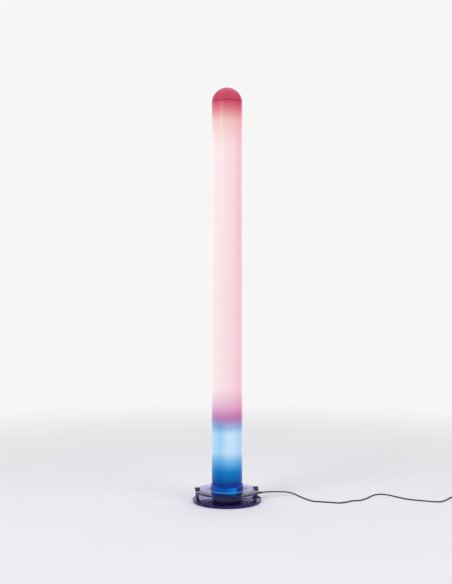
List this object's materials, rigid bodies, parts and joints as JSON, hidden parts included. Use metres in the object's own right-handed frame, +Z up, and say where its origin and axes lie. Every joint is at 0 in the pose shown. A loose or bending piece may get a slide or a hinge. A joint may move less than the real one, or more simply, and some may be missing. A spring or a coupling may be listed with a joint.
{
  "type": "column floor lamp",
  "caption": "Tall opal tube with a domed top, lit from inside, standing on a base of two clear discs joined by posts and a round housing, with a black mains cord and foot switch.",
  "frame": {"origin": "on the floor, under the axis of the tube, at the centre of the base", "axes": "+Z up along the tube, +X to the right as pictured, towards the side where the cord leaves, +Y away from the viewer"},
  "size_m": [1.464, 0.34, 2.0456],
  "materials": {
    "rubber_foot": "matt black rubber",
    "clear_acrylic": "clear polished acrylic",
    "clear_collar": "clear acrylic, lit blue from inside",
    "knob_plastic": "black polished",
    "steel": "zinc plated",
    "nylon": "natural nylon",
    "housing_plastic": "black polished",
    "weight_iron": "dark painted",
    "white_plastic": "white moulded",
    "cord_rubber": "black moulded",
    "cord_pvc": "black sheath",
    "aluminium": "satin",
    "white_paint": "white powder coat",
    "frosted_acrylic": "frosted acrylic",
    "lamp_glass": "white phosphor inside",
    "pink_sleeve": "clear pink",
    "wire_insulation": "light grey",
    "lamp_base": "white moulded with a metal thread",
    "globe_glass": "white glass",
    "blue_filter": "clear blue film",
    "opal_acrylic": "opal, lit from inside",
    "joint_acrylic": "opal",
    "opal_dome": "opal, lit pink from inside",
    "switch_plastic": "fine textured black",
    "button_plastic": "dark grey",
    "tie_plastic": "black strap",
    "pin_brass": "nickel plated"
  },
  "bodies": {
    "root": {"foot_ring": "rubber_foot", "lower_disc": "clear_acrylic", "upper_disc": "clear_acrylic", "collar": "clear_collar", "post_left": "clear_acrylic", "post_right": "clear_acrylic", "knob_left": "knob_plastic", "knob_right": "knob_plastic", "post_studs": "steel", "post_screws": "steel", "knob_washers": "nylon", "housing": "housing_plastic", "housing_screws": "steel", "counterweight": "weight_iron", "terminal_block": "white_plastic", "grommet": "cord_rubber", "cord_inside": "cord_pvc", "cord_clip": "cord_rubber", "clip_screws": "steel", "foot_plate": "aluminium", "plate_screws": "steel", "mast": "white_paint", "mast_screws": "steel", "bracket_lower": "white_paint", "bracket_upper": "white_paint", "centring_ring_lower": "frosted_acrylic", "centring_ring_upper": "frosted_acrylic", "lamp_left": "lamp_glass", "lamp_right": "lamp_glass", "lamp_caps_left": "aluminium", "lamp_caps_right": "aluminium", "holder_lower_left": "white_plastic", "holder_lower_right": "white_plastic", "holder_upper_left": "white_plastic", "holder_upper_right": "white_plastic", "sleeve_left": "pink_sleeve", "sleeve_right": "pink_sleeve", "ballast": "white_paint", "wiring": "wire_insulation", "globe_bracket": "white_paint", "globe_holder": "white_plastic", "globe_base": "lamp_base", "globe": "globe_glass", "filter_sleeve": "blue_filter", "cord": "cord_pvc", "switch_base": "switch_plastic", "switch_core": "white_plastic", "switch_cover": "switch_plastic", "switch_screws": "steel", "cord_to_coil": "cord_pvc", "cord_coil": "cord_pvc", "coil_tie": "tie_plastic", "cord_to_plug": "cord_pvc", "plug_body": "cord_rubber", "plug_pins": "pin_brass"},
    "diffuser": {"diffuser_tube": "opal_acrylic", "joint_ring": "joint_acrylic"},
    "dome": {"dome": "opal_dome"},
    "switch_button": {"switch_button": "button_plastic"}
  },
  "joints": [
    {"name": "diffuser_lift", "type": "slide", "parent": "root", "child": "diffuser", "axis": [0, 0, 1], "range_m": [0, 1.95]},
    {"name": "dome_lift", "type": "slide", "parent": "diffuser", "child": "dome", "axis": [0, 0, 1], "range_m": [0, 0.1]},
    {"name": "switch_press", "type": "slide", "parent": "root", "child": "switch_button", "axis": [0, 0, -1], "range_m": [0, 0.003], "stiffness_N_per_m": 900, "springref_m": -0.002}
  ]
}
